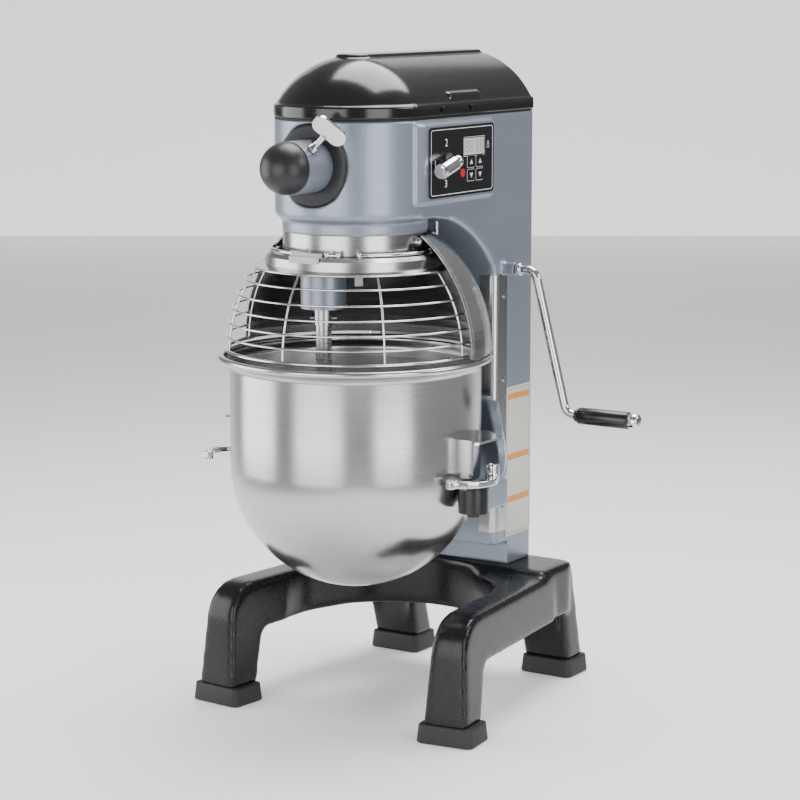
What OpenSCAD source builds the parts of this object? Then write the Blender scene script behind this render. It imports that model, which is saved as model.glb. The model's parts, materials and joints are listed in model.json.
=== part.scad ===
// Bench planetary mixer with a lifting bowl, a wire bowl guard, an attachment hub and a hand crank.
// The floor is Z = 0, the front is -Y and the control panel and crank are on +X.
// Every module is drawn about the bowl's axis and then shifted so the outline is centred.

/* [Bowl] */
// Outside radius of the bowl's body
bowl_r = 157; // [150:1:158]
// Sheet thickness of the bowl
bowl_t = 1.5; // [1:0.5:2.5]
// Height of the bowl's lowest point when raised
bowl_bottom_z = 168; // [166:1:172]
// Outside radius of the rolled rim
rim_r = 171.5; // [170:0.5:172]
// Height of the middle of the rolled rim
rim_z = 459; // [457:1:460]

/* [Housing] */
// Width of the column and the head
body_w = 198; // [196:1:200]
// Back face of the column behind the bowl's axis
body_back = 270; // [266:1:274]
// Height of the split between casting and top cover
split_z = 753.5; // [752:0.5:755]
// Wall thickness of the castings
wall = 6; // [5:0.5:7]
// Radius of the neck under the head
neck_r = 90; // [89.5:0.5:91]

/* [Base] */
// Height of the platform that the column stands on
platform_z = 162; // [160:1:164]
// Height of the front legs' upper faces
beam_z = 154; // [152:1:156]
// Height of the rubber feet
foot_h = 20; // [16:1:24]
// Outward turn of the front legs
leg_splay = 6; // [5:0.5:7]

/* [Guard] */
// Radius of the guard's dome section
guard_arc = 166.5; // [166:0.5:167]
// Height of the guard's lowest wire ring
guard_z = 469; // [468.5:0.5:470]
// Radius of the guard's wires
wire_r = 1.3; // [1.2:0.1:1.6]

/* [Drive] */
// Angle of the agitator shaft round the bowl's axis at rest
planet_angle = 240; // [235:1:245]
// Height of the attachment hub's axis
hub_z = 700; // [699:1:701]

/* [Hidden] */
$fn = 64;
axis_x = -38.7;                   // bowl axis seen from the middle of the outline
axis_y = -75.8;
clear = 0.3;                     // gap between sliding and swinging faces
fit = 0.04;                      // radial clearance of a shaft in its bearing
half_w = body_w / 2;
column_front = 176;              // casting face behind the slideway
foot_front = 210;                // column face below the slideway
ledge_z = 193;
scoop_y = 14;                    // under-head hollow: a cylinder lying along X
scoop_z = 428;
scoop_r = 205;
scoop_low = 553.6;
screw_y = 196;                   // lift screw and crank axis
crank_z = 555;
carriage_low = 281;
carriage_high = 392;
slide_low = 211;
slide_high = 547;
leg_mid = 145;                   // middle of a front leg where it leaves the platform
leg_root = 190;
leg_len = 236;
rear_mid = 120;
rear_foot_y = 303;
pivot_x = 182;                   // bowl lock pivots
pivot_y = 28;
panel_x = 106;                   // face of the control pad
hub_face = -90.5;                // front of the casting's hub boss
hub_back = -82;
bolt_x = 80;                     // bolts between base and column
bolt_y = 240;
plate_z = 726;                   // underside of the plate that carries the motor
plate_ledge = 4;
gear_module = 2;
ring_teeth = 66;
planet_teeth = 22;
main_teeth = 66;
lay_teeth = 18;
eccentric = gear_module * (ring_teeth - planet_teeth) / 2;
pin_x = eccentric * cos(planet_angle);
pin_y = eccentric * sin(planet_angle);
lay_y = gear_module * (main_teeth + lay_teeth) / 2;
motor_y = 196;
crank_rod_r = 5.8;

// ---- shared shapes ----

module placed() translate([axis_x, axis_y, 0]) children();

module both_sides() {
    children();
    mirror([1, 0, 0]) children();
}

module along_x(x0, x1) translate([x0, 0, 0]) rotate([90, 0, 90]) linear_extrude(x1 - x0) children();

module along_y(y0, y1) translate([0, y1, 0]) rotate([90, 0, 0]) linear_extrude(y1 - y0) children();

module block(a, b) translate(a) cube(b - a);

module rod_x(x0, x1, r) translate([x0, 0, 0]) rotate([0, 90, 0]) cylinder(h = x1 - x0, r = r);

module rod_y(y0, y1, r) translate([0, y0, 0]) rotate([-90, 0, 0]) cylinder(h = y1 - y0, r = r);

module ring(r_out, r_in, h) difference() {
    cylinder(h = h, r = r_out, $fn = 96);
    translate([0, 0, -1]) cylinder(h = h + 2, r = r_in, $fn = 96);
}

module round_rect(w, d, r) {
    square([w - 2 * r, d], center = true);
    square([w, d - 2 * r], center = true);
    for (x = [-1, 1], y = [-1, 1])
        translate([x * (w / 2 - r), y * (d / 2 - r)]) circle(r);
}

// the plan of the head: half round in front, square behind
module d_plan(r, back) {
    circle(r, $fn = 128);
    translate([-r, 0]) square([2 * r, back]);
}

module arc_bar(r, tube, from, to) rotate([0, 0, from])
    rotate_extrude(angle = to - from, $fn = 128) translate([r, 0]) circle(tube, $fn = 24);

function arc(cx, cy, r, from, to, steps = 8) =
    [for (i = [0:steps]) let (a = from + (to - from) * i / steps) [cx + r * cos(a), cy + r * sin(a)]];

function involute(a) = tan(a) * 180 / PI - a;

// an involute gear's outline; play is taken off each flank in millimetres
function gear(teeth, r_root, r_tip, play) = let (
    pitch = gear_module * teeth / 2,
    base = pitch * cos(20),
    half = 90 / teeth + involute(20) - play / pitch * 180 / PI,
    radii = [for (i = [0:4]) let (low = max(base, r_root)) low + (r_tip - low) * i / 4],
    turn = [for (r = radii) half - involute(acos(min(1, base / r)))])
    [for (k = [0:teeth - 1]) let (mid = 360 * k / teeth)
        each concat(
            [[r_root * cos(mid - turn[0]), r_root * sin(mid - turn[0])]],
            [for (i = [0:4]) radii[i] * [cos(mid - turn[i]), sin(mid - turn[i])]],
            [for (i = [4:-1:0]) radii[i] * [cos(mid + turn[i]), sin(mid + turn[i])]],
            [[r_root * cos(mid + turn[0]), r_root * sin(mid + turn[0])]])];

function outer_gear(teeth) =
    gear(teeth, gear_module * (teeth / 2 - 1.25), gear_module * (teeth / 2 + 1), 0.15);

// ---- base ----

beam_low = 90;
web_low = beam_low + 1.5;
leg_bend = 46;

// side outline of a front leg; u runs forward from the platform, v is height
module leg_outline() {
    front = leg_len + 16;
    polygon(concat(
        [[-30, beam_low], [-30, beam_z]],
        arc(front - leg_bend, beam_z - leg_bend, leg_bend, 90, 8),
        [[front + 9, foot_h], [front - 41, foot_h]],
        arc(front - 71, beam_low - 16, 16, -8, 90, 5)));
}

module leg_front_view() polygon([[-30, foot_h], [30, foot_h], [21.5, beam_z + 1], [-21.5, beam_z + 1]]);

module front_leg() translate([leg_mid, leg_root, 0]) rotate([0, 0, leg_splay]) intersection() {
    translate([35, 0, 0]) rotate([90, 0, -90]) linear_extrude(70) leg_outline();
    along_y(-leg_len - 40, 40) leg_front_view();
}

module rear_leg() intersection() {
    along_x(70, 170) polygon([[262, beam_low + 4], [250, platform_z - 3], [280, platform_z - 3],
        [325, foot_h], [281, foot_h]]);
    along_y(240, 340) polygon([[85, foot_h], [153, foot_h], [160, platform_z], [81, platform_z]]);
}

module base_casting() color("#17181a") placed() difference() {
    union() {
        both_sides() {
            front_leg();
            rear_leg();
        }
        translate([0, 0, web_low]) linear_extrude(platform_z - web_low) {
            translate([-163, 194]) square([326, 67]);
            translate([-141, 194]) square([282, 89]);
            both_sides() translate([141, 261]) circle(22);
        }
        translate([0, 0, web_low]) linear_extrude(beam_z - 1 - web_low)
            translate([-150, 60]) square([300, 150]);
    }
    translate([0, 67, beam_low - 10]) cylinder(h = 90, r = 138, $fn = 128);
    block([-92, 214, beam_low - 10], [92, 273, platform_z - 10]);
    both_sides() {
        block([94, 214, beam_low - 10], [150, 262, platform_z - 12]);
        block([94, 255, foot_h + 8], [144, 274, platform_z - 12]);
        translate([bolt_x, bolt_y, platform_z - 20]) cylinder(h = 40, r = 5.5);
    }
}

module foot_shape() difference() {
    linear_extrude(foot_h) round_rect(75, 54, 9);
    translate([0, 0, -1]) cylinder(h = 5, r = 6);
}

module foot_pads() color("#26272b") placed() both_sides() {
    translate([leg_mid, leg_root, 0]) rotate([0, 0, leg_splay]) translate([0, -leg_len, 0]) foot_shape();
    translate([rear_mid, rear_foot_y, 0]) linear_extrude(foot_h) round_rect(75, 56, 9);
}

module base_bolts() color("silver") placed() both_sides() translate([bolt_x, bolt_y, 0]) {
    translate([0, 0, platform_z - 16]) cylinder(h = 6, r = 8.5, $fn = 6);
    translate([0, 0, platform_z - 10]) cylinder(h = 24, r = 4.95);
}

// ---- column and head casting ----

module column_side() difference() {
    translate([0, platform_z]) square([body_back, split_z - platform_z]);
    difference() {
        translate([scoop_y, scoop_z]) circle(scoop_r, $fn = 180);
        translate([-300, 0]) square([700, scoop_low]);
    }
    translate([-1, platform_z - 1]) square([column_front + 1, scoop_low - platform_z + 1.1]);
    translate([-1, platform_z - 1]) square([foot_front + 1, ledge_z - platform_z + 1]);
}

module casting_outside() {
    intersection() {
        along_x(-half_w, half_w) column_side();
        translate([0, 0, platform_z]) linear_extrude(split_z - platform_z) d_plan(half_w, body_back);
    }
    rotate_extrude($fn = 128) polygon(concat(
        [[0, 596], [neck_r - 2.2, 596], [neck_r - 2.2, 616], [neck_r, 616], [neck_r, 628]],
        arc(neck_r - 3, 642, 12, -75, 0, 6),
        [[half_w, 648], [half_w, 700], [0, 700]]));
    translate([0, 0, 646]) linear_extrude(split_z - 646) d_plan(half_w, body_back);
}

module casting_inside() {
    head_in = half_w - wall;
    translate([0, 0, 652]) linear_extrude(120) d_plan(head_in - plate_ledge, body_back - wall - plate_ledge);
    translate([0, 0, plate_z]) linear_extrude(40) d_plan(head_in, body_back - wall);
    block([-head_in, column_front + wall, ledge_z + wall], [head_in, body_back - wall, 660]);
    block([-head_in, foot_front + wall, platform_z - 1], [head_in, body_back - wall, ledge_z + wall + 1]);
    along_x(-head_in, head_in) difference() {
        translate([neck_r, 590]) square([body_back - wall - neck_r, 63]);
        translate([scoop_y, scoop_z]) circle(scoop_r + wall, $fn = 180);
    }
    translate([0, 0, 590]) cylinder(h = 56, r = 80, $fn = 128);
    translate([0, 0, 640]) cylinder(h = 20, r = 31, $fn = 96);
}

module pad_outline() polygon([[half_w - 8, -19], [panel_x - 6, -19], [panel_x, -6], [panel_x, 158],
    [panel_x - 6, 162], [half_w - 8, 162]]);

module column_casting() color("#8b94a3") placed() difference() {
    union() {
        difference() {
            union() {
                casting_outside();
                translate([0, 0, 652]) linear_extrude(96) pad_outline();
                translate([0, screw_y, crank_z]) rod_x(half_w - 2, 119, 9);
            }
            difference() {
                casting_inside();
                translate([0, 0, hub_z]) rod_y(-120, hub_back, 56);
            }
        }
        both_sides() block([bolt_x - 11, bolt_y - 11, platform_z],
            [half_w - 3, bolt_y + 11, platform_z + 18]);
    }
    translate([0, 0, hub_z]) {
        rod_y(-110, -50, 32);
        rod_y(-110, hub_face, 50.5);
    }
    both_sides() translate([corner_x, column_front - 1, ledge_z - 1]) difference() {
        cube([10, 9.5, slide_high - ledge_z + 7]);
        translate([0, 9.5, -1]) cylinder(h = 500, r = 8.5);
    }
    translate([0, screw_y, crank_z]) rod_x(half_w - 30, 130, 6 + fit);
    translate([0, 42, hub_z + 2]) rod_x(half_w - 30, 130, 6 + fit);
    block([-22, column_front - 1, 205], [22, column_front + wall + 1, 382]);
    block([half_w - 14, 66, 672], [panel_x + 1, 150, 735]);
    block([-70, body_back - wall - 1, 242], [70, body_back + 1, 520]);
    translate([60, 0, 215]) rod_y(body_back - 20, body_back + 5, 10);
    both_sides() {
        translate([bolt_x, bolt_y, platform_z - 1]) cylinder(h = 17, r = 5);
        for (z = screw_heights) translate([0, column_front + 21, z]) rod_x(half_w - 4, half_w + 1, 2);
        for (z = cover_screw_z) translate([72, 0, z]) rod_y(body_back - 3, body_back + 1, 2.1);
        translate([0, 0, collar_bolt_z]) rod_x(neck_r - 6, neck_r + 5, 3);
    }
}

corner_x = half_w - 8.5;         // centres of the column's rounded front corners
corner_y = column_front + 8.5;
screw_heights = [245, 411, 520];
cover_screw_z = [237, 525];
collar_bolt_z = 605;

module channel_plan(grow) {
    translate([-corner_x, corner_y - 8.5 - grow]) square([2 * corner_x, 30]);
    translate([-half_w - grow, corner_y]) square([body_w + 2 * grow, 40]);
    both_sides() translate([corner_x, corner_y]) circle(8.5 + grow);
}

rail_gap = 76;                   // the painted column shows between the two rails

module slideway() color("#c9cbcd") placed() difference() {
    translate([0, 0, slide_low]) linear_extrude(slide_high - slide_low) difference() {
        channel_plan(1.5);
        channel_plan(0);
        translate([-150, column_front + 27]) square([300, 60]);
    }
    block([-rail_gap, column_front - 5, slide_low - 1], [rail_gap, column_front + 5, slide_high + 1]);
    for (z = screw_heights) both_sides()
        translate([0, column_front + 21, z]) rod_x(half_w - 1, half_w + 3, 2);
}

module screw_head(r, h) {
    cylinder(h = h, r = r);
    translate([0, 0, -2.5]) cylinder(h = 3, r = r / 2.2);
}

module casing_screws() color("silver") placed() {
    for (z = screw_heights) both_sides()
        translate([half_w + 1.5, column_front + 21, z]) rotate([0, 90, 0]) screw_head(4, 2);
    for (z = cover_screw_z) both_sides()
        translate([72, body_back + 2, z]) rotate([-90, 0, 0]) screw_head(4, 2);
    both_sides() translate([neck_r - 0.7, 0, collar_bolt_z]) {
        rod_x(-5, 1, 2.95);
        rod_x(0, 2.2, 7);
        intersection() {
            translate([2.2, 0, 0]) sphere(6);
            rod_x(2.2, 12, 10);
        }
    }
}

module rear_cover() color("#8b94a3") placed() difference() {
    block([-80, body_back, 232], [80, body_back + 2, 530]);
    for (z = cover_screw_z) both_sides() translate([72, 0, z]) rod_y(body_back - 1, body_back + 3, 2.1);
}

module cord_gland() color("#202124") placed() translate([60, 0, 215]) difference() {
    union() {
        rod_y(body_back - 10, body_back + 3, 10);
        rod_y(body_back, body_back + 5, 14);
        rod_y(body_back + 5, body_back + 22, 9);
    }
    rod_y(body_back - 12, body_back + 24, 4.5);
}

module side_plate() color("#c4c2ba") placed()
    translate([half_w, 235.8, 299]) rotate([90, 0, 90]) linear_extrude(0.8) round_rect(64.5, 198, 4);

// ---- top cover ----

cover_r = 110;
cover_screw_y = [44, 112];
cover_band = 16;
cover_mid = 719;

module cover_shape(r, half, low) intersection() {
    union() {
        translate([0, 0, cover_mid]) sphere(r, $fn = 128);
        translate([0, 0, cover_mid]) rod_y(0, body_back, r);
    }
    translate([0, 0, low]) linear_extrude(120) d_plan(half, body_back - (cover_r - r));
}

module top_cover() color("#131416") placed() difference() {
    union() {
        cover_shape(cover_r, half_w - 1, split_z + 1.5);
        translate([0, 0, split_z + 1.5]) linear_extrude(cover_band) d_plan(half_w + 1, body_back + 1);
        translate([0, 0, 824]) linear_extrude(7) {
            circle(23);
            translate([-23, 0]) square([46, body_back - 4]);
        }
        both_sides() translate([89.5, 0, 778]) rod_y(70, 143, 6);
    }
    cover_shape(cover_r - 3.5, half_w - 4.5, split_z);
    translate([0, 0, split_z]) linear_extrude(8) d_plan(half_w - 4.5, body_back - 4);
    both_sides() block([80, 74, 773.5], [97, 139, 775.5]);
    for (y = cover_screw_y) both_sides() translate([0, y, 764]) rod_x(half_w - 10, half_w + 3, 2.1);
}

module cover_gasket() color("#0c0d0e") placed() translate([0, 0, split_z]) linear_extrude(1.5) difference() {
    d_plan(half_w - 0.6, body_back - 0.6);
    d_plan(half_w - wall, body_back - wall);
}

module cover_screws() color("#3a3b3e") placed() for (y = cover_screw_y) both_sides() {
    translate([0, y, 764]) rod_x(half_w - 10, half_w + 2, 2.05);
    translate([0, y, 764]) rod_x(half_w + 1.02, half_w + 3.3, 4);
}

// ---- control panel ----

module panel_plate() color("#1c1d20") placed() difference() {
    translate([panel_x, 77.5, 700.5]) rotate([90, 0, 90]) linear_extrude(1.5) round_rect(153, 86, 5);
    block([panel_x - 1, 82, 706], [panel_x + 3, 130, 727]);
    for (y = [98, 119], z = [697.5, 681]) block([panel_x - 1, y - 8, z - 7], [panel_x + 3, y + 8, z + 7]);
    translate([0, 77.5, 685]) rod_x(panel_x - 1, panel_x + 3, 5.5);
    translate([0, 42, hub_z + 2]) rod_x(panel_x - 1, panel_x + 3, 9);
}

module display_window() color("#b8b6b2") placed() {
    block([panel_x - 2, 80, 704.6], [panel_x, 132, 729]);
    block([panel_x - 1, 82.2, 706.2], [panel_x + 1.2, 129.8, 726.8]);
}

board_x = 92;                    // front of the circuit board

module control_board() color("#1f5a36") placed() {
    block([board_x - 2, 68, 674], [board_x, 148, 733]);
    for (y = [71, 145], z = [677, 730]) translate([0, y, z]) rod_x(board_x - 1, panel_x, 2.5);
}

// a push button at rest; its stem stops short of the board by the travel
module key(y, z) color("#26272a") placed() {
    block([panel_x - 4, y - 7.7, z - 6.7], [panel_x + 2.4, y + 7.7, z + 6.7]);
    translate([0, y, z]) rod_x(board_x + 1.8, panel_x - 3, 2);
}

module button_minute_up() key(98, 697.5);
module button_minute_down() key(98, 681);
module button_second_up() key(119, 697.5);
module button_second_down() key(119, 681);
module button_stop() color("#c8202a") placed() translate([0, 77.5, 685]) {
    rod_x(panel_x - 4, panel_x + 2.4, 5.2);
    rod_x(board_x + 1.8, panel_x - 3, 2);
}

knob_tilt = 16;

module shift_lever() color("#d0d2d4") placed() translate([0, 42, hub_z + 2]) {
    rod_x(half_w - 34, 122, 6);
    rod_x(panel_x + 2, 111, 10);
    translate([122, 0, 0]) sphere(7.5);
    translate([122, 0, 0]) rotate([knob_tilt, 0, 0]) rod_y(-9, 0, 6);
}

module shift_knob() color("#d0d2d4") placed() translate([122, 42, hub_z + 2]) rotate([knob_tilt, 0, 0]) {
    rod_y(-38, -9, 9.5);
    rod_y(-42, -38, 8);
}

// ---- motor and gears in the head ----

module gear_plate() color("#9a9da1") placed() difference() {
    translate([0, 0, plate_z]) linear_extrude(8) d_plan(half_w - wall - 0.5, body_back - wall - 0.5);
    translate([0, 0, plate_z - 1]) {
        cylinder(h = 10, r = 14 + fit);
        translate([0, lay_y, 0]) cylinder(h = 10, r = 9 + fit);
        translate([0, motor_y, 0]) cylinder(h = 10, r = 26);
    }
    block([60, 20, plate_z - 1], [120, 160, plate_z + 9]);
    translate([0, 0, hub_z]) {
        rod_y(-110, -59, 33);
        rod_y(-110, hub_back + 0.5, 57);
    }
}

module motor_case() color("#54585e") placed() translate([0, motor_y, 0]) difference() {
    translate([0, 0, 604]) cylinder(h = plate_z - 604, r = 62, $fn = 96);
    translate([0, 0, 610]) cylinder(h = plate_z - 616, r = 56, $fn = 96);
    translate([0, 0, 600]) cylinder(h = 130, r = 8 + fit);
}

module motor_rotor() color("#8a6f4a") placed() translate([0, motor_y, 0]) {
    translate([0, 0, 604]) cylinder(h = 172, r = 8);
    translate([0, 0, 620]) cylinder(h = 76, r = 40, $fn = 96);
    translate([0, 0, 752]) cylinder(h = 20, r = 18);
}

belt_thick = 2.5;

module belt_loop(r_big, r_small) hull() {
    translate([0, lay_y]) circle(r_big, $fn = 96);
    translate([0, motor_y]) circle(r_small, $fn = 96);
}

module drive_belt() color("#1a1a1a") placed() translate([0, 0, 755]) linear_extrude(14) difference() {
    belt_loop(48 + clear + belt_thick, 18 + clear + belt_thick);
    belt_loop(48 + clear, 18 + clear);
}

module layshaft() color("#b5b8bc") placed() translate([0, lay_y, 0]) {
    translate([0, 0, 700]) cylinder(h = 72, r = 9);
    translate([0, 0, 752]) cylinder(h = 20, r = 48, $fn = 96);
    translate([0, 0, 735]) linear_extrude(14) rotate([0, 0, 90 + 180 / lay_teeth])
        polygon(outer_gear(lay_teeth));
}

module main_shaft() color("#b5b8bc") placed() {
    translate([0, 0, 619]) cylinder(h = 128, r = 14);
    translate([0, 0, 737]) linear_extrude(10) rotate([0, 0, 90]) polygon(outer_gear(main_teeth));
    translate([0, 0, hub_z - 24]) cylinder(h = 8, r1 = 24 - clear, r2 = 16 - clear);
}

module head_bearing() color("#d5d7d9") placed() translate([0, 0, 640]) ring(31, 14 + fit, 16);

module ring_gear() color("#7d8084") placed() translate([0, 0, 622]) linear_extrude(16) difference() {
    circle(80, $fn = 128);
    rotate([0, 0, planet_angle]) polygon(gear(ring_teeth, gear_module * (ring_teeth / 2 - 0.9),
        gear_module * (ring_teeth / 2 + 1.3), -0.15));
}

// ---- planetary unit ----

module planet_carrier() color("#8b94a3") placed() difference() {
    union() {
        translate([0, 0, 598]) cylinder(h = 18, r = 78, $fn = 128);
        translate([0, 0, 562]) cylinder(h = 40, r = 20);
        translate([pin_x, pin_y, 521]) cylinder(h = 80, r = 28.3);
        translate([0, 0, 616]) cylinder(h = 3, r = 20);
    }
    translate([pin_x, pin_y, 530]) cylinder(h = 90, r = 20);
    translate([pin_x, pin_y, 510]) cylinder(h = 30, r = 13);
    translate([0, 0, 560]) cylinder(h = 20, r = 5);
}

module planet_bearings() color("#d5d7d9") placed() for (z = [532, 602])
    translate([pin_x, pin_y, z]) ring(20, 11.5 + fit, 12);

module centre_bolt() color("silver") placed() {
    translate([0, 0, 559]) cylinder(h = 3, r = 14);
    translate([0, 0, 546]) cylinder(h = 13, r = 11, $fn = 6);
    translate([0, 0, 562]) cylinder(h = 18, r = 4.95);
}

module planet_gear() color("#9a9da1") placed()
    translate([pin_x, pin_y, 623]) linear_extrude(12) difference() {
        rotate([0, 0, planet_angle]) polygon(outer_gear(planet_teeth));
        circle(11.5);
    }

module agitator_shaft() color("#c3c6c9") placed() translate([pin_x, pin_y, 0]) difference() {
    union() {
        translate([0, 0, 500]) cylinder(h = 139, r = 11.5);
        translate([0, 0, 436]) cylinder(h = 65, r = 10);
        translate([0, 0, 433]) cylinder(h = 3, r1 = 8, r2 = 10);
    }
    translate([0, 0, 508]) rotate([0, 0, 30]) rod_x(-20, 20, 3);
}

module drive_pin() color("#c3c6c9") placed()
    translate([pin_x, pin_y, 508]) rotate([0, 0, 30]) rod_x(-16.5, 16.5, 3);

// ---- attachment hub ----

module at_hub() placed() translate([0, 0, hub_z]) children();

module hub_flange() color("#18191b") at_hub() difference() {
    rod_y(-97, hub_face, 49.5);
    rod_y(-98, -90, 32);
}

module hub_socket() color("#8b94a3") at_hub() difference() {
    rod_y(-145, -60, 32);
    rod_y(-146, -86, 11.5);
    rod_y(-87, -59, 9.04);
    translate([0, -128, 0]) rotate([0, -43, 0]) rod_x(8, 40, 4 + fit);
}

module hub_shaft() color("#b5b8bc") at_hub() difference() {
    union() {
        rod_y(-98, -23, 9);
        translate([0, -24, 0]) rotate([-90, 0, 0]) cylinder(h = 8, r1 = 24 - clear, r2 = 16 - clear);
    }
    translate([-4, -99, -4]) cube([8, 8, 8]);
}

module hub_cap() color("#1a1b1d") at_hub() {
    rod_y(-152, -145.3, 31.5);
    intersection() {
        translate([0, -148, 0]) sphere(31.5, $fn = 96);
        rod_y(-190, -148, 40);
    }
    rod_y(-146, -132, 11.44);
}

module hub_screw() color("#c3c6c9") at_hub() translate([0, -128, 0]) rotate([0, -43, 0]) {
    rod_x(13, 57, 4);
    rod_x(33, 40, 7);
    translate([66, 0, 0]) rotate([-60, 0, 0]) linear_extrude(5, center = true) {
        for (y = [-12, 12]) translate([0, y]) circle(10.5);
        square([21, 24], center = true);
    }
}

// ---- bowl guard ----

dome_x = -6;                     // middle of the guard's dome section from the axis

function dome_r(z, reach) = dome_x + sqrt(reach * reach - pow(z - guard_z, 2));

module guard_collar() color("#c9cbcd") placed() difference() {
    union() {
        translate([0, 0, 583.5]) ring(neck_r - 0.7, neck_r - 2.2, 32);
        translate([0, 0, 583.5]) ring(100, neck_r - 2, 1.5);
    }
    both_sides() translate([0, 0, collar_bolt_z]) rod_x(neck_r - 6, neck_r + 5, 3);
}

shield_arc = 180;
shield_x = -9;
shield_t = 1.5;

module shield_section(z_low, z_high, reach, thick) {
    low = asin((z_low - guard_z) / reach);
    high = asin((z_high - guard_z) / reach);
    polygon(concat(arc(shield_x, guard_z, reach, low, high, 16),
        arc(shield_x, guard_z, reach - thick, high, low, 16)));
}

module guard_shield() color("#c9cbcd") placed() {
    rotate_extrude(angle = 180, $fn = 128) shield_section(466, 613, shield_arc - 1.5, shield_t);
    for (a = [1, 169]) rotate([0, 0, a]) rotate_extrude(angle = 10, $fn = 128)
        shield_section(468, 611, shield_arc, 1.6);
    both_sides() translate([75, 70, 606.5]) cylinder(h = 17.8, r = 3);
}

module guard_ring() color("#c9cbcd") placed() rotate_extrude($fn = 128)
    polygon([[92, 585.3], [101.5, 585.3], [101.5, 589], [106.4, 589], [109.8, 585.4], [109.8, 573],
        [123.4, 570.8], [123.4, 572.3], [111.3, 574.4], [111.3, 586], [107, 590.5], [100, 590.5],
        [100, 586.8], [92, 586.8]]);

module guard_bar() color("#c9cbcd") placed() translate([0, 0, 594])
    for (a = [[-160, -104], [-76, -68], [-54, 5]]) {
        arc_bar(104, 2.2, a[0], a[1]);
        for (e = a) rotate([0, 0, e]) translate([104, 0, -3.5]) cylinder(h = 7, r = 2.8);
    }

ring_heights = [guard_z, 486, 503, 520.5, 538, 556, 571.5];

rib_angles = [182, 226, 270, 316, 358];
rib_arc = guard_arc - 2 * wire_r + 0.5;
rib_end = 38;                    // the ribs stop under the guard ring's flange

module guard_wires() color("#d6d8da") placed() {
    for (z = ring_heights) translate([0, 0, z])
        arc_bar(dome_r(z, guard_arc), z == guard_z ? wire_r + 0.9 : wire_r, 178, 362);
    for (a = rib_angles) rotate([0, 0, a]) translate([dome_x, 0, guard_z]) rotate([90, 0, 0])
        arc_bar(rib_arc, wire_r, 0, rib_end);
}

module interlock_block() color("#b9bbbb") placed() difference() {
    union() {
        block([-20, -115, 584], [20, -109, 591.8]);
        block([-20, -111, 590.5], [20, -102, 596]);
    }
    translate([0, 0, 580]) cylinder(h = 10.5, r = 111.3, $fn = 128);
}

// ---- bowl and its lift ----

module bowl_side(inset) {
    r = bowl_r - inset;
    mid = bowl_bottom_z + bowl_r;
    intersection() {
        translate([0, mid]) circle(r, $fn = 180);
        translate([0, mid - r - 1]) square([r + 1, r + 1]);
    }
    translate([0, mid - 0.1]) square([r, rim_z - 12 - mid + 0.1]);
}

module bowl() color("#d2d4d6") placed() rotate_extrude($fn = 180) {
    difference() {
        bowl_side(0);
        bowl_side(bowl_t);
    }
    polygon([[bowl_r - bowl_t, rim_z - 13], [bowl_r, rim_z - 13], [bowl_r, rim_z - 12],
        [rim_r - 3, rim_z - 2.6], [rim_r - 4.5, rim_z - 0.5], [bowl_r - bowl_t, rim_z - 11]]);
    translate([rim_r - 4, rim_z]) circle(4, $fn = 32);
}

module handle() {
    difference() {
        block([150, -13, 322], [177, -10, 369]);
        cylinder(h = 900, r = bowl_r, $fn = 180);
    }
    difference() {
        translate([0, 0, 366]) linear_extrude(3) polygon([[150, -13], [177, -13], [186, -22], [190, -18],
            [191, 33], [160, 60], [148, 58]]);
        cylinder(h = 900, r = bowl_r, $fn = 180);
    }
    difference() {
        block([150, -16, 310], [176, 3, 312.5]);
        cylinder(h = 900, r = bowl_r, $fn = 180);
    }
    difference() {
        block([150, -13, 312.5], [160, -10, 322]);
        cylinder(h = 900, r = bowl_r, $fn = 180);
    }
}

module bowl_handles() color("#c9cbcd") placed() both_sides() handle();

module web_cut() {
    translate([0, 45, carriage_low + 134]) rod_x(80, 260, 101, $fn = 180);
    block([80, -40, carriage_low + 34], [260, 50, carriage_low + 150]);
}

module yoke_arm() difference() {
    union() {
        rotate([0, 0, 12]) rotate_extrude(angle = 52, $fn = 128) translate([178, carriage_low + 0.5])
            square([12, carriage_high - carriage_low - 1]);
        intersection() {
            block([155, 6, carriage_low], [190, 52, carriage_low + 33]);
            translate([0, 0, 200]) ring(300, 161, 200);
        }
    }
    web_cut();
    translate([176, -7, 200]) cylinder(h = 200, r = 19);
}

module yoke() color("#8b94a3") placed() {
    difference() {
        union() {
            block([-97, 162, carriage_low], [97, column_front - 2.5, carriage_high]);
            both_sides() yoke_arm();
        }
        translate([0, 0, 200]) cylinder(h = 300, r = 161, $fn = 128);
    }
    block([-21.5, column_front - 3, 300], [21.5, 183, 380]);
    both_sides() translate([pivot_x, pivot_y, 300]) cylinder(h = 33, r = 4);
}

module hinge_blocks() color("#222328") placed() {
    translate([176, -7, 280]) cylinder(h = 30, r = 19);
    translate([176, -7, 275]) cylinder(h = 5, r = 8);
    block([-181, -15, 290], [-160, 6, 310]);
}

module lever_arm() difference() {
    union() {
        translate([0, 0, 314.5]) cylinder(h = 20, r = 8.6);
        translate([-24, -30, 314.5]) rotate([0, 0, 50]) mirror([0, 1, 0])
            rotate_extrude(angle = 130, $fn = 96) translate([33.4, 0]) square([10, 8]);
        translate([-18, -68, 313]) cylinder(h = 11, r = 6.5);
    }
    translate([0, 0, 300]) cylinder(h = 60, r = 4 + fit);
}

module lock_lever_right() color("#d0d2d4") placed() translate([pivot_x, pivot_y, 0]) lever_arm();

module lock_lever_left() color("#d0d2d4") placed()
    translate([-pivot_x, pivot_y, 0]) rotate([0, 0, -30]) mirror([1, 0, 0]) lever_arm();

module lift_nut() color("#b48a45") placed() difference() {
    block([-18, 183, 325], [18, 210, 355]);
    translate([0, screw_y, 320]) cylinder(h = 40, r = 6 + fit);
}

gear_reach = 13;                 // outer radius of the lift's bevel gears

module bevel() {
    cylinder(h = 7, r1 = gear_reach - clear, r2 = gear_reach - 7 - clear);
}

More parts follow.
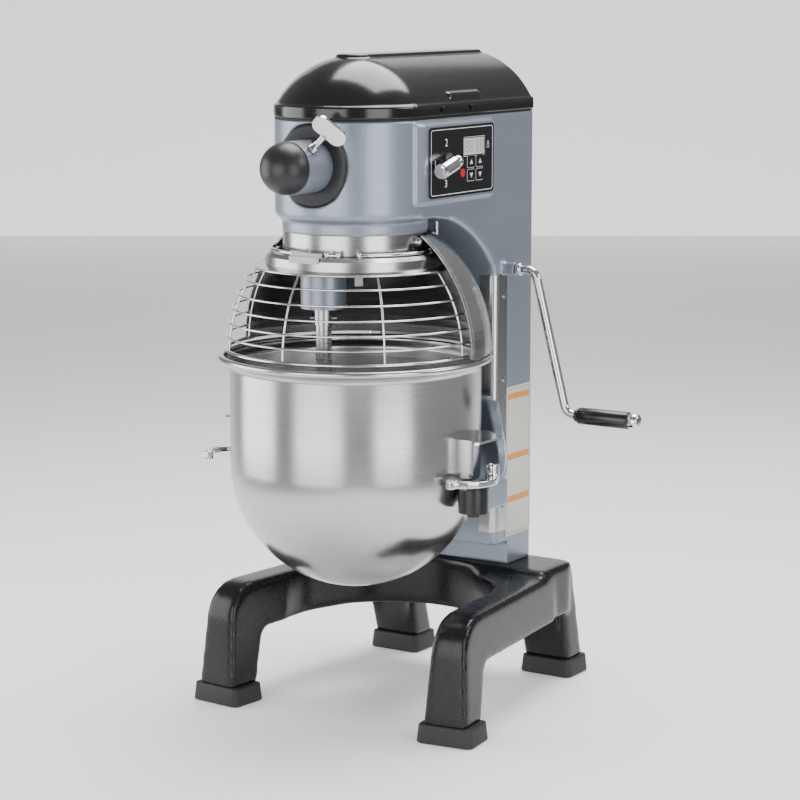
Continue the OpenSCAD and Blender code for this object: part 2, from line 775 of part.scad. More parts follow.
module lift_screw() color("#a9adb1") placed() translate([0, screw_y, 0]) {
    translate([0, 0, 202]) cylinder(h = crank_z - gear_reach - 202 + 1, r = 6);
    translate([0, 0, crank_z - gear_reach]) bevel();
}

module screw_bearings() color("#7d8084") placed() difference() {
    union() {
        block([-20, 182, 522], [20, 212, 532]);
        block([-20, 184, 199], [20, body_back - wall, 208]);
    }
    translate([0, screw_y, 201.5]) cylinder(h = 400, r = 6 + fit);
}

crank_lean = 14.5;               // how far the crank arm leans outward from straight down
crank_drop = 182;
crank_corner = 145.5;            // where the crank arm leaves the shaft's line
arm_len = crank_drop / cos(crank_lean);
grip_x = crank_corner + crank_drop * tan(crank_lean);

grip_start = grip_x + 14;

module at_crank() placed() translate([0, screw_y, crank_z]) children();

module crank_rod() color("#d0d2d4") at_crank() {
    translate([gear_reach, 0, 0]) rotate([0, -90, 0]) bevel();
    rod_x(gear_reach - 1, 122, 6);
    rod_x(119.5, 126, 8);
    rod_x(125, crank_corner, crank_rod_r);
    translate([crank_corner, 0, 0]) {
        sphere(crank_rod_r + 0.3);
        rotate([0, 90 - crank_lean, 0]) rod_x(0, arm_len, crank_rod_r);
    }
    translate([grip_x, 0, -crank_drop]) {
        sphere(crank_rod_r + 0.3);
        rod_x(0, 291 - grip_x, crank_rod_r);
    }
}

module crank_grip() color("#1c1d1f") at_crank() translate([0, 0, -crank_drop]) difference() {
    union() {
        rod_x(grip_start, grip_start + 4, 8.5);
        rod_x(grip_start + 4, 283, 11);
    }
    rod_x(grip_x, 300, crank_rod_r + fit);
}

module grip_cap() color("#d0d2d4") at_crank() translate([0, 0, -crank_drop]) difference() {
    union() {
        rod_x(283.3, 294, 9.5);
        rod_x(294, 297, 8);
    }
    rod_x(280, 291, crank_rod_r);
}

base_casting();
foot_pads();
base_bolts();
column_casting();
slideway();
casing_screws();
rear_cover();
cord_gland();
side_plate();
top_cover();
cover_gasket();
cover_screws();
panel_plate();
display_window();
control_board();
button_stop();
button_minute_up();
button_minute_down();
button_second_up();
button_second_down();
shift_lever();
shift_knob();
gear_plate();
motor_case();
motor_rotor();
drive_belt();
layshaft();
main_shaft();
head_bearing();
ring_gear();
planet_carrier();
planet_bearings();
centre_bolt();
planet_gear();
agitator_shaft();
drive_pin();
hub_flange();
hub_socket();
hub_shaft();
hub_cap();
hub_screw();
guard_collar();
guard_shield();
guard_ring();
guard_bar();
guard_wires();
interlock_block();
bowl();
bowl_handles();
yoke();
hinge_blocks();
lock_lever_right();
lock_lever_left();
lift_nut();
lift_screw();
screw_bearings();
crank_rod();
crank_grip();
grip_cap();
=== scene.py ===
import json
import math

import bpy
import numpy as np
from mathutils import Matrix, Vector


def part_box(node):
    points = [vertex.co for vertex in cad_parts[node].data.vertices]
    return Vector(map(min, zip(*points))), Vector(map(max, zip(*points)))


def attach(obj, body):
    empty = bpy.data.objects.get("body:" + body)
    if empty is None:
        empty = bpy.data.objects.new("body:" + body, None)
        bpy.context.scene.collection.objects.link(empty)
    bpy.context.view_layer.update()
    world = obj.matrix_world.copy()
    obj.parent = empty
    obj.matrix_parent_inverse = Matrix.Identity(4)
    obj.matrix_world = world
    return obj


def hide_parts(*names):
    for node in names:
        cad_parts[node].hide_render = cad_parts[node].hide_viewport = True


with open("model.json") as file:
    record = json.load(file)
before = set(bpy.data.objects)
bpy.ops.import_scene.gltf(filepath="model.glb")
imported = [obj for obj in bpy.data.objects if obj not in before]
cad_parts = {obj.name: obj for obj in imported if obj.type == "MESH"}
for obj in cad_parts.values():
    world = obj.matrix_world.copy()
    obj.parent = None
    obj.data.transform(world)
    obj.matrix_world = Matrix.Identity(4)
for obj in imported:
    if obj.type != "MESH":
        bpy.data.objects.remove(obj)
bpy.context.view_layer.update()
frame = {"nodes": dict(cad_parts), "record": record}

# ---------------------------------------------------------------- places read from the CAD
bowl_lo, bowl_hi = (Vector(v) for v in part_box("bowl"))
AX, AY = ((bowl_lo + bowl_hi) / 2).xy


def at(x, y, z):
    """A point given in millimetres from the bowl's axis, in the row frame."""
    return Vector((AX + x / 1000, AY + y / 1000, z / 1000))


# ---------------------------------------------------------------- materials
def material(name, colour, metallic=0.0, roughness=0.4, vary=0.08, grain=(40, 40, 40), bump=0.0,
             bump_grain=None, coat=0.0, anisotropic=0.0, rough_vary=0.06, tint=None, specular=0.5):
    """A Principled material whose colour and roughness vary with noise; bump is the relief in metres."""
    m = bpy.data.materials.new(name)
    m.use_nodes = True
    t = m.node_tree
    p = t.nodes["Principled BSDF"]
    coords = t.nodes.new("ShaderNodeTexCoord")

    def noise(scale, detail=4.0, rough=0.55):
        mp = t.nodes.new("ShaderNodeMapping")
        mp.inputs["Scale"].default_value = scale
        n = t.nodes.new("ShaderNodeTexNoise")
        n.inputs["Scale"].default_value = 1.0
        n.inputs["Detail"].default_value = detail
        n.inputs["Roughness"].default_value = rough
        t.links.new(coords.outputs["Object"], mp.inputs["Vector"])
        t.links.new(mp.outputs["Vector"], n.inputs["Vector"])
        return n.outputs["Fac"]

    n1 = noise(grain)
    ramp = t.nodes.new("ShaderNodeValToRGB")
    dark = [c * (1 - vary) for c in colour]
    light = [min(1, c * (1 + vary)) for c in colour] if tint is None else tint
    ramp.color_ramp.elements[0].color = (*dark, 1)
    ramp.color_ramp.elements[1].color = (*light, 1)
    ramp.color_ramp.elements[0].position = 0.3
    ramp.color_ramp.elements[1].position = 0.7
    t.links.new(n1, ramp.inputs["Fac"])
    t.links.new(ramp.outputs["Color"], p.inputs["Base Color"])
    mr = t.nodes.new("ShaderNodeMapRange")
    mr.inputs["From Min"].default_value = 0.3
    mr.inputs["From Max"].default_value = 0.7
    mr.inputs["To Min"].default_value = max(0.02, roughness - rough_vary)
    mr.inputs["To Max"].default_value = roughness + rough_vary
    t.links.new(noise((9, 9, 9)) if bump_grain is None else noise(bump_grain, 2.0), mr.inputs["Value"])
    t.links.new(mr.outputs["Result"], p.inputs["Roughness"])
    p.inputs["Metallic"].default_value = metallic
    p.inputs["Specular IOR Level"].default_value = specular
    p.inputs["Coat Weight"].default_value = coat
    p.inputs["Coat Roughness"].default_value = 0.12
    if anisotropic:
        p.inputs["Anisotropic"].default_value = anisotropic
        tangent = t.nodes.new("ShaderNodeTangent")
        tangent.direction_type = "RADIAL"
        tangent.axis = "Z"
        t.links.new(tangent.outputs["Tangent"], p.inputs["Tangent"])
    if bump:
        b = t.nodes.new("ShaderNodeBump")
        b.inputs["Strength"].default_value = 1.0
        b.inputs["Distance"].default_value = bump
        t.links.new(noise(bump_grain or grain, 3.0), b.inputs["Height"])
        t.links.new(b.outputs["Normal"], p.inputs["Normal"])
    return m


MAT = {
    "black_enamel": material("black_enamel", (0.006, 0.006, 0.007), 0, 0.24, 0.3, (260, 260, 260), 0.00006,
                             (420, 420, 420), specular=0.35),
    "lid_enamel": material("lid_enamel", (0.007, 0.007, 0.008), 0, 0.18, 0.3, (260, 260, 260), 0.00004,
                           (600, 600, 600), coat=0.2),
    "grey_enamel": material("grey_enamel", (0.25, 0.285, 0.345), 0.55, 0.36, 0.07, (1900, 1900, 1900),
                            0.00003, (700, 700, 700), coat=0.15, tint=(0.30, 0.335, 0.40)),
    "rubber": material("rubber", (0.012, 0.012, 0.014), 0, 0.62, 0.25, (300, 300, 300), 0.00006,
                       (600, 600, 600)),
    "spun_steel": material("spun_steel", (0.50, 0.50, 0.495), 1, 0.21, 0.07, (5, 5, 1100), 0.000006,
                           (5, 5, 1500), anisotropic=0.45, rough_vary=0.04),
    "drawn_steel": material("drawn_steel", (0.50, 0.50, 0.50), 1, 0.20, 0.06, (1100, 1100, 5), 0.000006,
                            (1300, 1300, 5), rough_vary=0.05),
    "wire_steel": material("wire_steel", (0.66, 0.66, 0.66), 1, 0.14, 0.06, (300, 300, 300), rough_vary=0.04),
    "polished": material("polished", (0.72, 0.72, 0.73), 1, 0.09, 0.05, (60, 60, 60), 0.00002, (90, 90, 90),
                         rough_vary=0.03),
    "fastener": material("fastener", (0.48, 0.48, 0.48), 1, 0.24, 0.12, (500, 500, 500), rough_vary=0.08),
    "black_plastic": material("black_plastic", (0.010, 0.010, 0.012), 0, 0.22, 0.2, (200, 200, 200), 0.000006,
                              (300, 300, 300), rough_vary=0.04),
    "satin_black": material("satin_black", (0.012, 0.012, 0.015), 0, 0.40, 0.2, (200, 200, 200), 0.000006,
                            (400, 400, 400), rough_vary=0.04),
    "pale_plastic": material("pale_plastic", (0.58, 0.58, 0.56), 0, 0.34, 0.05, (150, 150, 150), 0.00002,
                             (400, 400, 400)),
    "red_plastic": material("red_plastic", (0.55, 0.015, 0.02), 0, 0.25, 0.1, (200, 200, 200)),
    "label_foil": material("label_foil", (0.56, 0.55, 0.50), 0, 0.42, 0.04, (30, 30, 30), 0.00001,
                           (300, 300, 300)),
    "board": material("board", (0.02, 0.12, 0.04), 0, 0.45, 0.2, (150, 150, 150)),
    "machined_steel": material("machined_steel", (0.46, 0.46, 0.47), 1, 0.26, 0.1, (30, 30, 900), 0.000008,
                               (30, 30, 1200)),
    "cast_iron": material("cast_iron", (0.10, 0.10, 0.11), 0.6, 0.55, 0.2, (250, 250, 250), 0.0001,
                          (500, 500, 500)),
    "bronze": material("bronze", (0.50, 0.33, 0.13), 1, 0.32, 0.1, (200, 200, 200)),
    "print_white": material("print_white", (0.78, 0.78, 0.78), 0, 0.5, 0.04, (400, 400, 400)),
    "band_paint": material("band_paint", (0.62, 0.27, 0.06), 0, 0.45, 0.05, (300, 300, 300)),
    "lcd_ink": material("lcd_ink", (0.12, 0.12, 0.13), 0, 0.3, 0.08, (400, 400, 400)),
}


# ---------------------------------------------------------------- mesh tools
def shade(obj, smooth=True, angle=35):
    for f in obj.data.polygons:
        f.use_smooth = smooth
    if smooth and angle:
        bpy.context.view_layer.objects.active = obj
        with bpy.context.temp_override(object=obj, active_object=obj, selected_objects=[obj],
                                       selected_editable_objects=[obj]):
            bpy.ops.object.shade_auto_smooth(angle=math.radians(angle))


def piece(name, verts, faces, body, mat, smooth=True, angle=35, replaces=()):
    """A visual piece riding on a body, in place of the CAD nodes it replaces."""
    me = bpy.data.meshes.new(name)
    me.from_pydata([tuple(v) for v in verts], [], faces)
    me.validate()
    me.update()
    obj = bpy.data.objects.new(name, me)
    bpy.context.scene.collection.objects.link(obj)
    me.materials.append(MAT[mat])
    shade(obj, smooth, angle)
    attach(obj, body)
    if replaces:
        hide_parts(*replaces)
    return obj


def lathe(profile, segs=192):
    """Verts and faces of an open profile [(r, z) in mm] turned about the bowl's axis."""
    verts, faces = [], []
    for i in range(segs):
        a = 2 * math.pi * i / segs
        verts += [at(r * math.cos(a), r * math.sin(a), z) for r, z in profile]
    n = len(profile)
    for i in range(segs):
        j = (i + 1) % segs
        for k in range(n - 1):
            faces.append((i * n + k, j * n + k, j * n + k + 1, i * n + k + 1))
    return verts, faces


def arc2(cx, cz, r, a0, a1, steps):
    """Points (x, z) along an arc from angle a0 to a1, in degrees."""
    return [(cx + r * math.cos(math.radians(a0 + (a1 - a0) * i / steps)),
             cz + r * math.sin(math.radians(a0 + (a1 - a0) * i / steps))) for i in range(steps + 1)]


def tube(points, radius, segs=20):
    """A capped round tube along points in millimetres from the bowl's axis; radius is one value or a list."""
    pts = [Vector(p) for p in points]
    n = len(pts)
    radii = radius if isinstance(radius, (list, tuple)) else [radius] * n
    tangents = []
    for i in range(n):
        a, b = pts[max(i - 1, 0)], pts[min(i + 1, n - 1)]
        tangents.append((b - a).normalized())
    side = tangents[0].orthogonal().normalized()
    verts, faces = [], []
    for i in range(n):
        side = (side - tangents[i] * side.dot(tangents[i])).normalized()
        up = tangents[i].cross(side)
        for k in range(segs):
            a = 2 * math.pi * k / segs
            p = pts[i] + (side * math.cos(a) + up * math.sin(a)) * radii[i]
            verts.append(at(*p))
    for i in range(n - 1):
        for k in range(segs):
            m = (k + 1) % segs
            faces.append((i * segs + k, i * segs + m, (i + 1) * segs + m, (i + 1) * segs + k))
    faces.append(tuple(range(segs))[::-1])
    faces.append(tuple((n - 1) * segs + k for k in range(segs)))
    return verts, faces


def join(*parts):
    """Several (verts, faces) pairs as one."""
    verts, faces = [], []
    for v, f in parts:
        off = len(verts)
        verts += v
        faces += [tuple(i + off for i in face) for face in f]
    return verts, faces


def rounded_path(points, radius, steps=10):
    """A polyline with its inner corners turned into arcs."""
    pts = [Vector(p) for p in points]
    out = [pts[0]]
    for a, b, c in zip(pts, pts[1:], pts[2:]):
        u, v = (a - b).normalized(), (c - b).normalized()
        half = u.angle(v) / 2
        cut = radius / math.tan(half)
        centre = b + (u + v).normalized() * (radius / math.sin(half))
        p, q = b + u * cut, b + v * cut
        for i in range(steps + 1):
            w = (p.lerp(q, i / steps) - centre).normalized()
            out.append(centre + w * radius)
    return out + [pts[-1]]


def rounded_rect(cx, cy, w, h, r, steps=6):
    """The outline of a rectangle with round corners."""
    pts = []
    for sx, sy, a in ((1, 1, 0), (-1, 1, 90), (-1, -1, 180), (1, -1, 270)):
        for i in range(steps + 1):
            t = math.radians(a + 90 * i / steps)
            pts.append((cx + sx * (w / 2 - r) + r * math.cos(t), cy + sy * (h / 2 - r) + r * math.sin(t)))
    return pts


def soften(node, name, mat, voxel, steps, heavy=None, heavy_steps=0, body="frame"):
    """A copy of a CAD casting with its edges rounded the way a sand casting's are."""
    src = frame["nodes"][node]
    obj = src.copy()
    obj.data = src.data.copy()
    obj.name = name
    obj.parent = None
    bpy.context.scene.collection.objects.link(obj)
    for key in list(obj.keys()):
        del obj[key]
    weld = obj.modifiers.new("weld", "WELD")
    weld.merge_threshold = 0.00002
    mod = obj.modifiers.new("remesh", "REMESH")
    mod.mode = "VOXEL"
    mod.voxel_size = voxel / 1000
    dg = bpy.context.evaluated_depsgraph_get()
    made = bpy.data.meshes.new_from_object(obj.evaluated_get(dg))
    obj.modifiers.clear()
    obj.data = made
    count = len(made.vertices)
    co = np.zeros(count * 3)
    made.vertices.foreach_get("co", co)
    co = co.reshape(-1, 3)
    ed = np.zeros(len(made.edges) * 2, np.int64)
    made.edges.foreach_get("vertices", ed)
    ed = ed.reshape(-1, 2)
    a, b = ed[:, 0], ed[:, 1]
    degree = np.bincount(a, minlength=count) + np.bincount(b, minlength=count)
    weight = np.zeros(count) if heavy is None else heavy((co - np.array([AX, AY, 0])) * 1000)
    for step in range(max(steps, heavy_steps)):
        pull = np.ones(count) if step < steps else weight
        mean = np.stack([np.bincount(a, co[b, i], count) + np.bincount(b, co[a, i], count)
                         for i in range(3)], 1)
        co += 0.5 * pull[:, None] * (mean / degree[:, None] - co)
    made.vertices.foreach_set("co", co.ravel())
    made.update()
    made.materials.clear()
    made.materials.append(MAT[mat])
    shade(obj, True, 0)
    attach(obj, body)
    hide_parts(node)
    return obj


# ---------------------------------------------------------------- castings
SCOOP_Y, SCOOP_Z, SCOOP_R = 14.0, 428.0, 205.0
SIDE_X = 99


def scoop_edge(p):
    """1 along the two side edges of the hollow under the head, fading to 0 away from them."""
    off = np.abs(np.hypot(p[:, 1] - SCOOP_Y, p[:, 2] - SCOOP_Z) - SCOOP_R)
    side = np.abs(np.abs(p[:, 0]) - SIDE_X)
    near = np.clip(1 - np.hypot(off, side) / 26, 0, 1)
    zone = (p[:, 1] > 60) & (p[:, 2] > 549) & (p[:, 2] < 632)
    return np.where(zone, np.clip(near * 2.5, 0, 1), 0)


coarse = 1.0
soften("column_casting", "column_shell", "grey_enamel", 1.5 * coarse, 7, scoop_edge, 60)
soften("base_casting", "base_shell", "black_enamel", 1.9 * coarse, 45)
soften("top_cover", "cover_shell", "lid_enamel", 1.4 * coarse, 7)
soften("yoke", "yoke_shell", "grey_enamel", 1.4 * coarse, 7, body="carriage")
soften("lock_lever_right", "lever_right", "polished", 0.7 * coarse, 5, body="right_lock")
soften("lock_lever_left", "lever_left", "polished", 0.7 * coarse, 5, body="left_lock")

# ---------------------------------------------------------------- rubber boots under the legs
boots = []
SECTIONS = ((0.2, -1.2), (1.2, 0.2), (3, 0.4), (19, -1.6), (22, -1.8), (23.2, -2.4), (23.8, -4.0))
for x, y, turn, w, d in ((169.67, -44.71, 6, 76, 56), (120, 303, 0, 76, 57)):
    for side in (1, -1):
        ca, sa = math.cos(math.radians(turn * side)), math.sin(math.radians(turn * side))
        verts = []
        for z, grow in SECTIONS:
            loop = rounded_rect(0, 0, w + 2 * grow, d + 2 * grow, 9 + grow)
            verts += [at(side * x + u * ca - v * sa, y + u * sa + v * ca, z) for u, v in loop]
        n = len(verts) // len(SECTIONS)
        faces = [(k * n + i, k * n + (i + 1) % n, (k + 1) * n + (i + 1) % n, (k + 1) * n + i)
                 for k in range(len(SECTIONS) - 1) for i in range(n)]
        faces += [tuple(range(n))[::-1], tuple(range(len(verts) - n, len(verts)))]
        boots.append((verts, faces))
v, f = join(*boots)
piece("foot_boots", v, f, "frame", "rubber", angle=40, replaces=("foot_pads",))

# ---------------------------------------------------------------- bowl
BOWL_R, BOWL_INNER, BOWL_MID, RIM_Z = 157.0, 155.4, 325.0, 459.0
outer = arc2(0, BOWL_MID, BOWL_R, -90, 0, 60) + [(BOWL_R, 370), (BOWL_R, 445)]
outer += [(157.4, 448.2), (159, 450.2), (162.5, 452.2), (167.2, 454.9)]
rim = arc2(167.5, RIM_Z, 4.2, -80, 215, 22)
inner = [(160.2, 452.4), (157.6, 450.6), (156, 448.5), (BOWL_INNER, 445), (BOWL_INNER, BOWL_MID)]
inner += arc2(0, BOWL_MID, BOWL_INNER, 0, -90, 60)[1:]
v, f = lathe(outer + rim + inner, 256)
piece("spun_bowl", v, f, "carriage", "spun_steel", angle=50, replaces=("bowl",))

# ---------------------------------------------------------------- guard
DOME_X, DOME_R, GUARD_Z = -6.0, 166.5, 469.0
RIB_R, WIRE, BOTTOM_WIRE = 164.4, 1.3, 2.2
BAR_R, BAR_Z = 104, 594


def dome(z):
    """Distance of the guard's wires from the bowl's axis at height z."""
    return DOME_X + math.sqrt(DOME_R ** 2 - (z - GUARD_Z) ** 2)


def ring_path(r, z, a0, a1, steps=120):
    return [(r * math.cos(math.radians(a0 + (a1 - a0) * i / steps)),
             r * math.sin(math.radians(a0 + (a1 - a0) * i / steps)), z) for i in range(steps + 1)]


wires = []
for z in (GUARD_Z, 486, 503, 520.5, 538, 556, 571.5):
    wires.append(tube(ring_path(dome(z), z, 178, 362), BOTTOM_WIRE if z == GUARD_Z else WIRE, 14))
for a in (182, 226, 270, 316, 358):
    ca, sa = math.cos(math.radians(a)), math.sin(math.radians(a))
    reach = [(DOME_X + RIB_R * math.cos(t), GUARD_Z + RIB_R * math.sin(t))
             for t in np.radians(np.linspace(0, 38, 40))]
    arc = [(r * ca, r * sa, z) for r, z in reach]
    wires.append(tube(arc, WIRE, 14))
v, f = join(*wires)
piece("cage_wires", v, f, "guard", "wire_steel", replaces=("guard_wires",))

bars = []
for a0, a1 in ((-160, -104), (-76, -68), (-54, 5)):
    bars.append(tube(ring_path(BAR_R, BAR_Z, a0, a1, 60), 2.2, 14))
    for a in (a0, a1):
        x, y = BAR_R * math.cos(math.radians(a)), BAR_R * math.sin(math.radians(a))
        bars.append(tube([(x, y, 590.5), (x, y, 596.6), (x, y, 597.5)], [2.8, 2.8, 2.0], 16))
v, f = join(*bars)
piece("guard_rail", v, f, "guard", "polished", replaces=("guard_bar",))

# ---------------------------------------------------------------- crank
CRANK_Y, CRANK_Z, DROP, LEAN = 196.0, 555.0, 182.0, 14.5
CORNER = 145.5
LOWER = CORNER + DROP * math.tan(math.radians(LEAN))
GRIP_X, GRIP_Z = LOWER + 14, CRANK_Z - DROP


def turned(z, profile, segs):
    """A tube lying along x from a profile [(x, radius)]."""
    return tube([(x, CRANK_Y, z) for x, _ in profile], [r for _, r in profile], segs)


path = rounded_path([(100, CRANK_Y, CRANK_Z), (CORNER, CRANK_Y, CRANK_Z), (LOWER, CRANK_Y, GRIP_Z),
                     (290, CRANK_Y, GRIP_Z)], 16, 14)
v, f = join(tube(path, 5.8, 28), turned(CRANK_Z, ((119.6, 7.2), (120.2, 8), (125.2, 8), (126, 7)), 32))
piece("crank_bar", v, f, "crank", "polished", replaces=("crank_rod",))
v, f = turned(GRIP_Z, ((GRIP_X, 7.4), (GRIP_X + 0.8, 8.4), (GRIP_X + 3.6, 8.4), (GRIP_X + 4.2, 7.8),
                       (GRIP_X + 4.6, 10.2), (GRIP_X + 6, 11), (GRIP_X + 20, 11), (281, 11), (282.6, 10.4),
                       (283, 9.6)), 40)
piece("crank_handle", v, f, "grip", "black_plastic", replaces=("crank_grip",))
v, f = turned(GRIP_Z, ((283.4, 9.2), (284, 9.6), (293, 9.6), (295.6, 8.6), (297, 6.0)), 36)
piece("crank_end", v, f, "crank", "polished", replaces=("grip_cap",))

# ---------------------------------------------------------------- attachment hub
HUB_Z = 700.0


def lathe_y(profile, segs=96):
    """Verts and faces of a profile [(r, y)] turned about the hub's axis."""
    verts, faces = [], []
    n = len(profile)
    for i in range(segs):
        a = 2 * math.pi * i / segs
        verts += [at(r * math.cos(a), y, HUB_Z + r * math.sin(a)) for r, y in profile]
    for i in range(segs):
        j = (i + 1) % segs
        for k in range(n - 1):
            faces.append((i * n + k, i * n + k + 1, j * n + k + 1, j * n + k))
    return verts, faces


ball = [(r, -148 - y) for r, y in arc2(0, 0, 31.5, 0, 88, 26)]
stem = [(0.01, -132), (11.4, -132), (11.4, -145.4), (30.6, -145.4), (31.5, -146)]
v, f = lathe_y(stem + ball + [(0.01, -179.5)])
piece("hub_ball", v, f, "cap", "satin_black", angle=45, replaces=("hub_cap",))
v, f = lathe_y([(32.1, -90.6), (49.0, -90.6), (49.5, -91.2), (49.5, -95.2), (48.6, -96.6), (47, -97),
                (34, -97), (32.1, -96.5)])
piece("hub_collar", v, f, "frame", "satin_black", angle=40, replaces=("hub_flange",))

# ---------------------------------------------------------------- control panel
PX = 107.5      # the panel's face


def on_panel(name, loops, mat, rise=0.15, base=PX):
    """Flat shapes given as [(y, z)] loops, standing a little off the panel's face."""
    verts, faces = [], []
    for loop in loops:
        off, n = len(verts), len(loop)
        verts += [at(base + rise, y, z) for y, z in loop] + [at(base - 0.1, y, z) for y, z in loop]
        faces.append(tuple(range(off, off + n)))
        faces += [(off + i, off + n + i, off + n + (i + 1) % n, off + (i + 1) % n) for i in range(n)]
    return piece(name, verts, faces, "frame", mat, smooth=False)


def outline(cy, cz, w, h, r, width):
    """A thin closed line as small quads."""
    a = rounded_rect(cy, cz, w, h, r)
    b = rounded_rect(cy, cz, w - 2 * width, h - 2 * width, max(0.1, r - width))
    n = len(a)
    return [[a[i], a[(i + 1) % n], b[(i + 1) % n], b[i]] for i in range(n)]


def oblong(cy, cz, w, h):
    return [(cy + sy * w / 2, cz + sz * h / 2) for sy, sz in ((-1, -1), (1, -1), (1, 1), (-1, 1))]


lines = outline(77.5, 700.5, 147, 80, 4, 0.8)
for y in (98, 119):
    for z in (697.5, 681):
        lines += outline(y, z, 18, 15, 2.2, 0.5)
lines += outline(106, 716.5, 51, 24, 2, 0.4)
lines += outline(139.6, 715.5, 5, 5.4, 0.6, 0.5)
lines += outline(139.6, 719.6, 3.4, 4.4, 1.4, 0.5)
on_panel("panel_lines", lines, "print_white")


def digit(char, y, z, name):
    """A speed number printed on the panel beside the lever."""
    curve = bpy.data.curves.new(name, "FONT")
    curve.body = char
    curve.size = 0.0131
    curve.extrude = 0.0001
    curve.align_x = "CENTER"
    curve.align_y = "CENTER"
    obj = bpy.data.objects.new(name, curve)
    bpy.context.scene.collection.objects.link(obj)
    dg = bpy.context.evaluated_depsgraph_get()
    mesh = bpy.data.meshes.new_from_object(obj.evaluated_get(dg))
    bpy.data.objects.remove(obj)
    facing = Matrix(((0, 0, 1, 0), (1, 0, 0, 0), (0, 1, 0, 0), (0, 0, 0, 1)))
    mesh.transform(Matrix.Translation(at(PX + 0.1, y, z)) @ facing)
    out = bpy.data.objects.new(name, mesh)
    bpy.context.scene.collection.objects.link(out)
    mesh.materials.clear()
    mesh.materials.append(MAT["print_white"])
    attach(out, "frame")


digit("2", 39.6, 723.7, "speed_digit_2")
digit("1", 14, 698.5, "speed_digit_1")
digit("3", 38.7, 673.8, "speed_digit_3")

segments = []
for k in range(4):
    y0 = 88 + 10.6 * k + (3 if k > 1 else 0)
    for dy, dz, w, h in ((0, 13.2, 5, 1), (0, 6.6, 5, 1), (0, 0, 5, 1), (-3, 3.3, 1, 5.4), (3, 3.3, 1, 5.4),
                         (-3, 9.9, 1, 5.4), (3, 9.9, 1, 5.4)):
        segments.append(oblong(y0 + 1.5 + dy, 709.9 + dz, w, h))
on_panel("display_segments", segments, "lcd_ink", 0.1, PX - 0.3)

# the plate on the column's side is left blank apart from a border and plain bands
foil_lo, foil_hi = (Vector(v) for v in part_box("side_plate"))
fy, fz = (foil_lo.y + foil_hi.y) / 2 * 1000 - AY * 1000, (foil_lo.z + foil_hi.z) / 2 * 1000
foil_x = (foil_hi.x - AX) * 1000
on_panel("plate_border", outline(fy, fz, 60, 192, 3, 0.6), "lcd_ink", 0.05, foil_x)
bands = [oblong(fy, fz + z, 56, 8) for z in (86, 6, -50)]
on_panel("plate_bands", bands, "band_paint", 0.05, foil_x)

for node, y, z, up in (("button_minute_up", 98, 697.5, 1), ("button_minute_down", 98, 681, -1),
                       ("button_second_up", 119, 697.5, 1), ("button_second_down", 119, 681, -1)):
    tri = [(y - 3.6, z - 2.6 * up), (y + 3.6, z - 2.6 * up), (y, z + 3.4 * up)]
    verts = [at(108.5, a, b) for a, b in (tri if up > 0 else tri[::-1])]
    piece(node + "_arrow", verts, [(0, 1, 2)], node + "_body", "print_white", smooth=False)

# ---------------------------------------------------------------- finish of the CAD nodes kept as they are
LOOK = {"slideway": "drawn_steel", "bowl_handles": "wire_steel"}
slot_of = {s["node"]: s["material_slot"] for s in frame["record"]["subparts"]}
for node, obj in frame["nodes"].items():
    name = LOOK.get(node, slot_of[node])
    obj.data.materials.clear()
    obj.data.materials.append(MAT["spun_steel" if name == "stainless" else name])
    shade(obj, True, 32)

# ---------------------------------------------------------------- studio
def stage_plane(name, size, location, rotation, colour, emission):
    me = bpy.data.meshes.new(name)
    w, h = size[0] / 2, size[1] / 2
    me.from_pydata([(-w, -h, 0), (w, -h, 0), (w, h, 0), (-w, h, 0)], [], [(0, 1, 2, 3)])
    obj = bpy.data.objects.new(name, me)
    obj.location = location
    obj.rotation_euler = rotation
    bpy.context.scene.collection.objects.link(obj)
    m = material(name + "_paint", colour, 0, 0.9, 0.01, (3, 3, 3))
    p = m.node_tree.nodes["Principled BSDF"]
    p.inputs["Emission Color"].default_value = (1, 1, 1, 1)
    p.inputs["Emission Strength"].default_value = emission
    me.materials.append(m)
    return obj


VIEW = math.radians(32.36)        # heading of the camera
SIDE, BACK = Vector((math.cos(VIEW), math.sin(VIEW), 0)), Vector((-math.sin(VIEW), math.cos(VIEW), 0))


def around(angle, distance, height):
    """A place in metres; the angle is turned from the camera's side towards its right."""
    a = math.radians(angle)
    flat = SIDE * (distance * math.sin(a)) - BACK * (distance * math.cos(a))
    return Vector((flat.x, flat.y, height))


def card(name, angle, distance, size, colour, emission):
    """An upright card standing on the floor and facing the object."""
    turn = (math.pi / 2, 0, VIEW + math.radians(angle))
    stage_plane(name, size, around(angle, distance, size[1] / 2), turn, colour, emission)


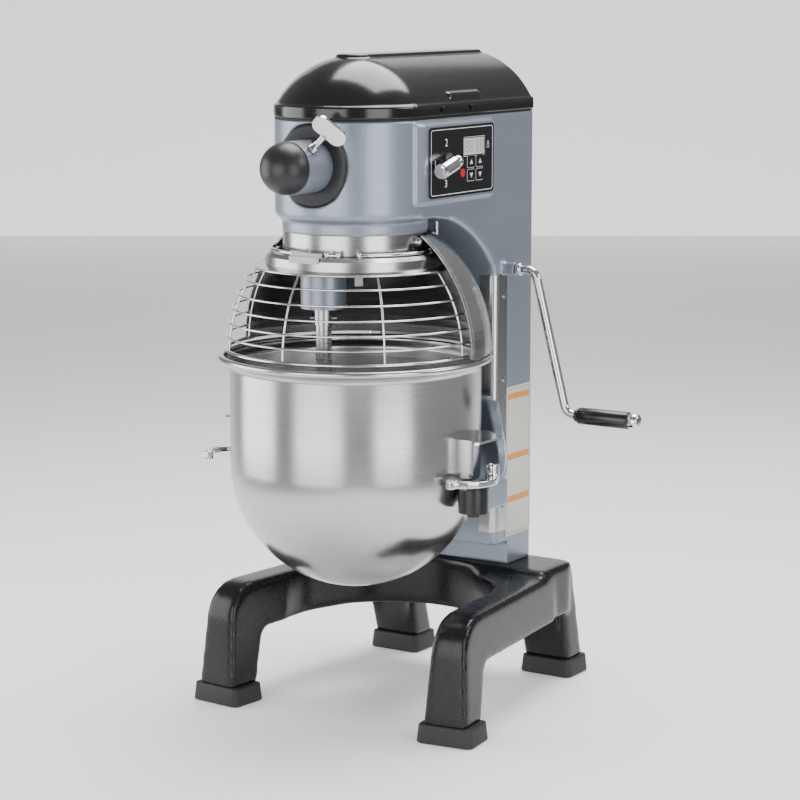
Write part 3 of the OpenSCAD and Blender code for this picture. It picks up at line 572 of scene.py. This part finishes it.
def paint_floor_light_pool(obj):
    """Paints a pool of light on the floor: its colour and glow are palest under and behind the object, and
    darker far out in front and at the sides.
    """
    t = obj.data.materials[0].node_tree
    p = t.nodes["Principled BSDF"]

    def maths(operation, a, b):
        n = t.nodes.new("ShaderNodeMath")
        n.operation = operation
        for socket, value in zip(n.inputs, (a, b)):
            if isinstance(value, (int, float)):
                socket.default_value = value
            else:
                t.links.new(value, socket)
        return n.outputs[0]

    def ramp(value, low, high):
        n = t.nodes.new("ShaderNodeMapRange")
        n.interpolation_type = "SMOOTHSTEP"
        n.inputs["From Min"].default_value = low
        n.inputs["From Max"].default_value = high
        t.links.new(value, n.inputs["Value"])
        return n.outputs["Result"]

    xyz = t.nodes.new("ShaderNodeSeparateXYZ")
    t.links.new(t.nodes.new("ShaderNodeTexCoord").outputs["Object"], xyz.inputs["Vector"])
    x, y = xyz.outputs["X"], xyz.outputs["Y"]
    far = ramp(maths("SQRT", maths("ADD", maths("MULTIPLY", x, x), maths("MULTIPLY", y, y)), 0), 0.65, 1.35)
    aside = ramp(maths("SUBTRACT", maths("ABSOLUTE", x, 0), maths("MULTIPLY", y, 0.5)), 0.4, 1.3)
    mix = t.nodes.new("ShaderNodeMix")
    mix.data_type = "RGBA"
    mix.inputs["A"].default_value = (0.9, 0.9, 0.9, 1)
    mix.inputs["B"].default_value = (0.24, 0.24, 0.24, 1)
    t.links.new(maths("MULTIPLY", far, aside), mix.inputs["Factor"])
    t.links.new(mix.outputs["Result"], p.inputs["Base Color"])
    t.links.new(mix.outputs["Result"], p.inputs["Emission Color"])


# the floor's colour and glow carry a painted pool of light, pale under the object and darker far out
paint_floor_light_pool(stage_plane("floor", (40, 40), (0, 0, -0.0005), (0, 0, VIEW), (0.9, 0.9, 0.9), emission=0.25))
card("backdrop", 180, 6.0, (5.2, 4.2), (0.9, 0.9, 0.9), 0.9)

world = bpy.data.worlds.new("studio")
bpy.context.scene.world = world
world.use_nodes = True
world.node_tree.nodes["Background"].inputs["Color"].default_value = (1.0, 1.0, 1.0, 1)
world.node_tree.nodes["Background"].inputs["Strength"].default_value = 0.3


def softbox(name, location, target, size, power):
    light = bpy.data.lights.new(name, "AREA")
    light.shape = "RECTANGLE"
    light.size, light.size_y = size
    light.energy = power
    obj = bpy.data.objects.new(name, light)
    obj.location = location
    aim = Vector(target) - Vector(location)
    obj.rotation_euler = aim.to_track_quat("-Z", "Y").to_euler()
    bpy.context.scene.collection.objects.link(obj)


def lit(name, angle, distance, size, level):
    """A softbox reaching down to the floor; level is its brightness."""
    place = around(angle, distance, size[1] / 2 + 0.01)
    softbox(name, place, (0, 0, place.z), size, level * math.pi * size[0] * size[1])


lit("key", -95, 1.7, (1.3, 1.3), 4.2)
lit("front_left", -33, 1.7, (1.25, 1.2), 3.6)
lit("front_right", 31, 1.75, (1.0, 1.2), 4.0)
softbox("side", around(80, 2.3, 1.75), (0, 0, 0.5), (1.1, 0.9), 22)
softbox("top", around(150, 0.7, 2.4), (0, 0, 0), (1.6, 1.6), 85)

cam_data = bpy.data.cameras.new("camera")
cam_data.sensor_width = 36
cam_data.lens = 113.2
cam_data.clip_end = 50
cam = bpy.data.objects.new("camera", cam_data)
cam.location = at(1706.7, -2590.0, 919.8)
cam.rotation_euler = (math.radians(90 - 9.48), 0, VIEW)
bpy.context.scene.collection.objects.link(cam)
bpy.context.scene.camera = cam
